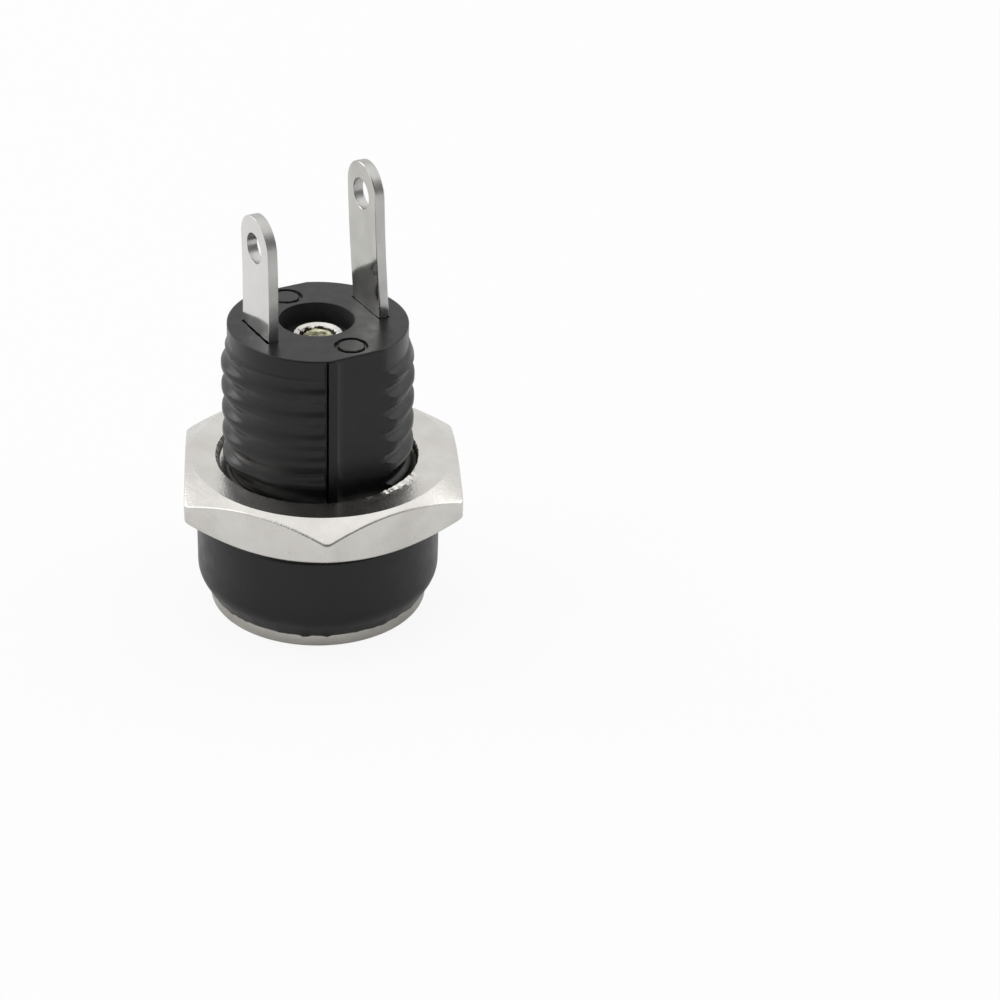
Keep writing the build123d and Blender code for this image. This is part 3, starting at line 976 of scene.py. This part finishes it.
def strip_mesh(top, heights, place):
    """Flat strip with an eyelet at its round end. place puts (across, height, depth) in the frame."""
    bm = bmesh.new()
    loops = eye_grid(top)
    lowest = loops[-1][: EYE_STEPS + 1]
    sides = []
    for depth in (-STRIP_THICKNESS / 2, STRIP_THICKNESS / 2):
        rings = [add_ring(bm, [place(x, z, depth) for x, z in loop]) for loop in loops]
        skin_all(bm, rings)
        rows = [rings[-1][: EYE_STEPS + 1]]
        for height in heights:
            rows.append([bm.verts.new(place(x, height, depth)) for x, _ in lowest])
        for upper, lower in zip(rows, rows[1:]):
            for i in range(EYE_STEPS):
                bm.faces.new((upper[i], upper[i + 1], lower[i + 1], lower[i]))
        border = rings[-1][EYE_STEPS:] + [row[0] for row in rows] + rows[-1][1:]
        border += [row[-1] for row in rows[-2:0:-1]]
        sides.append((rings[0], border))
    skin(bm, sides[0][0], sides[1][0], CUT_PART)
    skin(bm, sides[0][1], sides[1][1], CUT_PART)
    return bm


def bevelled(piece):
    """Softens the stamped edges."""
    bevel = piece.modifiers.new("stamped_edge", "BEVEL")
    bevel.width = STRIP_BEVEL * MM
    bevel.segments = BEVEL_STEPS
    bevel.limit_method = "ANGLE"
    bevel.angle_limit = BEVEL_ANGLE
    even_normals(piece)


def lean_shift(height, lean, bow, top):
    """How far a lug has moved towards -X at a height."""
    rise = max(0.0, height - LUG_BEND)
    return rise * math.tan(lean) + bow * math.sin(math.pi * rise / (top - LUG_BEND))


def crown(across, depth):
    """How far a strip's face towards -X falls off at a distance from its middle."""
    if depth > 0:
        return 0.0
    return STRIP_CROWN * (across / STRIP_HALF_WIDTH) ** 4


def sleeve_place(across, height, depth):
    """Point of the sleeve contact: a lug on the +X side, whose strip ends in a bowed leaf."""
    x = STRIP_OFFSET + depth + crown(across, depth)
    x -= lean_shift(height, SLEEVE_LUG_LEAN, SLEEVE_LUG_BOW, SLEEVE_LUG_TOP)
    if height < SOCKET_DEPTH:
        share = (height - LEAF_TIP) / (SOCKET_DEPTH - LEAF_TIP)
        x -= LEAF_BOW * 4 * share * (1 - share)
    return (x, STRIP_SHIFT + across, height)


def sleeve_contact():
    """Lug whose strip runs on into the socket as a bowed leaf."""
    heights = steps_between(SLEEVE_LUG_TOP - 2 * STRIP_HALF_WIDTH, LUG_BEND, SLEEVE_LUG_STEPS)
    heights += steps_between(LUG_BEND, SOCKET_DEPTH, BURIED_STEPS)
    heights += steps_between(SOCKET_DEPTH, LEAF_TIP, RUN_STEPS)
    bm = strip_mesh(SLEEVE_LUG_TOP, heights, sleeve_place)
    bevelled(finish_piece("sleeve_strip", bm, [DARKER_SLEEVE_TIN, CUT_EDGE], "sleeve_contact"))


def foot_half_width(x):
    """Half width of the pin terminal's foot, which tapers to its round eye."""
    if x < 0:
        share = -x / STRIP_OFFSET
        return FOOT_RADIUS + (STRIP_HALF_WIDTH - FOOT_RADIUS) * share
    return math.sqrt(max(0.0, FOOT_RADIUS**2 - x**2))


def pin_place(across, height, depth):
    """Point of the pin terminal: a lug on the -X side. From the heel on, height counts along the strip."""
    if height >= HEEL_TOP:
        x = -STRIP_OFFSET + depth + crown(across, depth)
        x -= lean_shift(height, PIN_LUG_LEAN, PIN_LUG_BOW, PIN_LUG_TOP)
        return (x, STRIP_SHIFT + across, height)
    travel = HEEL_TOP - height
    turn = clamp(travel / HEEL_LENGTH) * math.pi / 2
    radius = HEEL_MIDDLE - depth - crown(across, depth)
    x = -STRIP_OFFSET - STRIP_THICKNESS / 2 + HEEL_RADIUS - radius * math.cos(turn)
    z = HEEL_TOP - radius * math.sin(turn)
    if travel <= HEEL_LENGTH:
        return (x, STRIP_SHIFT + across, z)
    x += travel - HEEL_LENGTH
    shift = STRIP_SHIFT * clamp(-x / STRIP_OFFSET)
    return (x, shift + across * foot_half_width(x) / STRIP_HALF_WIDTH, z)


def pin_terminal():
    """Lug whose strip bends round a heel into a foot under the rivet."""
    foot_start = HEEL_TOP - HEEL_LENGTH
    foot_end = foot_start - (STRIP_OFFSET + STRIP_THICKNESS / 2 - HEEL_RADIUS + FOOT_RADIUS - FOOT_CUT)
    heights = steps_between(PIN_LUG_TOP - 2 * STRIP_HALF_WIDTH, LUG_BEND, PIN_LUG_STEPS)
    heights += steps_between(LUG_BEND, HEEL_TOP, BURIED_STEPS)
    heights += steps_between(HEEL_TOP, foot_start, HEEL_STEPS)
    heights += steps_between(foot_start, foot_end, RUN_STEPS)
    bm = strip_mesh(PIN_LUG_TOP, heights, pin_place)
    bevelled(finish_piece("pin_strip", bm, [TINNED, CUT_EDGE], "pin_terminal"))


def nut_outline(inward=0.0):
    """Hexagon with rounded corners, as (radius, angle) pairs in a fixed order."""
    corner_radius = (NUT_INRADIUS - inward) / math.cos(math.pi / 6)
    corners = [flat_point(corner_radius, NUT_TURN + i * math.pi / 3) for i in range(6)]
    points = []
    for i, corner in enumerate(corners):
        after = corners[(i + 1) % 6]
        rounded = soften(corners[i - 1], corner, after, NUT_CORNER, NUT_CORNER_STEPS)
        points += rounded
        side_end = after + (corner - after).normalized() * NUT_CORNER
        for k in range(1, NUT_SIDE_STEPS):
            points.append(rounded[-1].lerp(side_end, k / NUT_SIDE_STEPS))
    return [(p.length, math.atan2(p.y, p.x)) for p in points]


def nut_cone(radius):
    """How far the chamfer has dropped from the nut's face at a radius."""
    return max(0.0, radius - NUT_FACE_RADIUS) * NUT_CHAMFER


def nut_point(radius, angle, drop, top_side):
    """Point of the hexagon, at a drop from its upper or lower face."""
    z = NUT_TOP - drop if top_side else FLANGE_REAR + drop
    return (NUT_OFFSET + radius * math.cos(angle), radius * math.sin(angle), z)


def nut_slope(bm, share, top_side):
    """Ring on a chamfer, at a share of the way from the flat face to the sides."""
    points = []
    for r, a in nut_outline(NUT_EDGE):
        r = NUT_FACE_RADIUS + (r - NUT_FACE_RADIUS) * share
        points.append(nut_point(r, a, nut_cone(r), top_side))
    return add_ring(bm, points)


def nut_edge(bm, top_side):
    """Rings round the edge between a chamfer and the sides, from the chamfer on."""
    rings = []
    for i in range(NUT_EDGE_STEPS + 1):
        t = i / NUT_EDGE_STEPS
        slide = NUT_EDGE * t**2
        outline = nut_outline(NUT_EDGE * (1 - t) ** 2)
        rings.append(add_ring(bm, [nut_point(r, a, nut_cone(r) + slide, top_side) for r, a in outline]))
    return rings


def burr_share(angle):
    """Share of the lip's height at an angle round the hole."""
    off = (angle - BURR_TOP + math.pi) % (2 * math.pi) - math.pi
    reach = BURR_START if off < 0 else BURR_END
    return smooth(1 - abs(off) / reach)


def nut_level(bm, angles, radius, height, ragged=0.0, lip=0.0):
    """Ring on a face of the nut. Its middle goes from that of the mouth to that of the hexagon."""
    share = clamp((radius - NUT_MOUTH_RADIUS) / (NUT_FACE_RADIUS - NUT_MOUTH_RADIUS))
    middle = MOUTH_SHIFT + (NUT_OFFSET - MOUTH_SHIFT) * share
    points = []
    for a in angles:
        burr = burr_share(a)
        uneven = noise.noise(Vector(polar(UNEVEN_ROUND, a, UNEVEN_RISE * height)))
        r = radius + ragged * uneven * (RAGGED_ELSEWHERE + (1 - RAGGED_ELSEWHERE) * burr)
        z = height + lip * burr * (BURR_LEVEL + BURR_UNEVEN * uneven)
        points.append((middle + r * math.cos(a), r * math.sin(a), z))
    return add_ring(bm, points)


def nut_thread(angle, height):
    """Radius of the nut's own thread, whose ridges lie between those of the shank."""
    low = SHANK_RADIUS + THREAD_PLAY
    return low + (NUT_BORE - low) * smooth(flank_share(angle, height))


def nut_hole(bm, angles):
    """Rings down the nut's hole, with its thread."""
    high = NUT_TOP - MOUTH_DEPTH
    low = FLANGE_REAR + NUT_MOUTH
    rings = []
    for height in (high, *steps_between(high, low, NUT_THREAD_STEPS)):
        started = smooth((high - height - NUT_LEAD) / NUT_LEAD)
        points = []
        for a in angles:
            radius = NUT_BORE + (min(NUT_BORE, nut_thread(a, height)) - NUT_BORE) * started
            points.append(polar(radius, a, height))
        rings.append(add_ring(bm, points))
    return rings


def hex_nut():
    """Hexagon nut with chamfered faces, and its own thread in an off-centre hole with a ragged lip."""
    bm = bmesh.new()
    angles = [a for _, a in nut_outline()]
    rings = [nut_level(bm, angles, r, FLANGE_REAR) for r in (NUT_MOUTH_RADIUS, *NUT_SEAT_RINGS)]
    rings.append(nut_slope(bm, SLOPE_PLACES[0], False))
    rings += nut_edge(bm, False)
    rings += reversed(nut_edge(bm, True))
    rings += [nut_slope(bm, share, True) for share in SLOPE_PLACES]
    rings += [nut_level(bm, angles, r, NUT_TOP) for r in NUT_TOP_RINGS]
    for out, drop, ragged, share in BURR_RINGS:
        radius = NUT_MOUTH_RADIUS + out
        rings.append(nut_level(bm, angles, radius, NUT_TOP - drop, ragged, share * NUT_BURR))
    rings += nut_hole(bm, angles)
    skin_all(bm, rings, closed=True)
    even_normals(finish_piece("plated_nut", bm, [NUT_METAL], "hex_nut", NUT_SHARP_ANGLE))


def add_camera():
    """Camera at the photograph's angle, turned so that the part lies where the photograph has it."""
    data = bpy.data.cameras.new("camera")
    data.lens = CAMERA_LENS
    data.sensor_width = CAMERA_SENSOR
    data.clip_start, data.clip_end = CAMERA_CLIP
    level = math.cos(CAMERA_ELEVATION)
    height = math.sin(CAMERA_ELEVATION)
    back = Vector((math.sin(CAMERA_AZIMUTH) * level, -math.cos(CAMERA_AZIMUTH) * level, height))
    focal = CAMERA_LENS / CAMERA_SENSOR * FRAME_SIZE
    half = FRAME_SIZE / 2
    ray = Vector(((AIM_PIXEL[0] - half) / focal, (half - AIM_PIXEL[1]) / focal, -1.0)).normalized()
    swing = ray.rotation_difference(Vector((0.0, 0.0, -1.0)))
    camera = bpy.data.objects.new("camera", data)
    camera.rotation_mode = "QUATERNION"
    camera.rotation_quaternion = (-back).to_track_quat("-Z", "Y") @ swing
    camera.location = AIM_POINT + back * CAMERA_DISTANCE
    bpy.context.scene.collection.objects.link(camera)
    bpy.context.scene.camera = camera
    return back


def glow_share(tree):
    """How much of the floor's white no shadow reaches, for the camera and for what mirrors the floor."""
    path = add_node(tree, "ShaderNodeLightPath").outputs
    mirrored = add_math(tree, "MAXIMUM", path["Is Glossy Ray"], path["Is Transmission Ray"])
    behind = add_math(tree, "MULTIPLY", mirrored, MIRRORED_GLOW)
    front = add_math(tree, "MULTIPLY", path["Is Camera Ray"], FLOOR_GLOW)
    return add_math(tree, "MAXIMUM", behind, front)


def add_floor():
    """Plain pale floor that keeps a soft shadow."""
    mesh = bpy.data.meshes.new("floor")
    corners = [(x * FLOOR_HALF, y * FLOOR_HALF, 0) for x, y in SQUARE]
    mesh.from_pydata(corners, [], [(0, 1, 2, 3)])
    made, tree, shader = material("floor_white")
    shader.inputs["Base Color"].default_value = (*FLOOR_COLOUR, 1.0)
    shader.inputs["Roughness"].default_value = FLOOR_ROUGHNESS
    shader.inputs["Specular IOR Level"].default_value = 0.0
    glow = add_node(tree, "ShaderNodeEmission", {"Color": (1.0, 1.0, 1.0, 1.0), "Strength": 1.0})
    mixed = add_node(tree, "ShaderNodeMixShader", {0: glow_share(tree)})
    tree.links.new(shader.outputs[0], mixed.inputs[1])
    tree.links.new(glow.outputs[0], mixed.inputs[2])
    tree.links.new(mixed.outputs[0], tree.nodes["Material Output"].inputs["Surface"])
    mesh.materials.append(made)
    floor = bpy.data.objects.new("floor", mesh)
    bpy.context.scene.collection.objects.link(floor)


def add_world(shade_direction):
    """White tent with one unlit opening, and plain white behind the part."""
    world = bpy.data.worlds.new("tent")
    bpy.context.scene.world = world
    world.use_nodes = True
    tree = world.node_tree
    background = tree.nodes["Background"]
    background.inputs["Color"].default_value = (1.0, 1.0, 1.0, 1.0)
    direction = add_node(tree, "ShaderNodeTexCoord").outputs["Generated"]
    inputs = {0: direction, 1: shade_direction}
    facing = add_node(tree, "ShaderNodeVectorMath", inputs, operation="DOT_PRODUCT").outputs["Value"]
    tent = spread(tree, facing, WORLD_LIGHT, SHADE_SIDE, SHADE_START, SHADE_FULL)
    path = add_node(tree, "ShaderNodeLightPath")
    strength = add_node(tree, "ShaderNodeMix", data_type="FLOAT")
    tree.links.new(path.outputs["Is Camera Ray"], strength.inputs[0])
    tree.links.new(tent, strength.inputs[2])
    strength.inputs[3].default_value = 1.0
    tree.links.new(strength.outputs[0], background.inputs["Strength"])


def add_lamps():
    """Soft boxes above, on both sides and behind on the left."""
    for name, place, size, power in LAMPS:
        data = bpy.data.lights.new(name, "AREA")
        data.size = size
        data.energy = power
        lamp = bpy.data.objects.new(name, data)
        lamp.location = place
        lamp.rotation_mode = "QUATERNION"
        lamp.rotation_quaternion = (LAMP_AIM - Vector(place)).to_track_quat("-Z", "Y")
        bpy.context.scene.collection.objects.link(lamp)


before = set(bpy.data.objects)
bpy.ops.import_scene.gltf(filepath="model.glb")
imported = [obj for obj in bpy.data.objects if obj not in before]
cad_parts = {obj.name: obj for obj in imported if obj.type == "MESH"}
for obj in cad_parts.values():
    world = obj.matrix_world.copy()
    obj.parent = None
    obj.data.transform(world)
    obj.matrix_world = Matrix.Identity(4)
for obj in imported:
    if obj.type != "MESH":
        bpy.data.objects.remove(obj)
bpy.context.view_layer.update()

housing()
front_bushing()
center_pin()
pin_terminal()
sleeve_contact()
hex_nut()

add_floor()
camera_side = add_camera()
add_world(Vector((camera_side.x, camera_side.y, 0.0)).normalized())
add_lamps()
bpy.context.scene.view_settings.view_transform = "Standard"
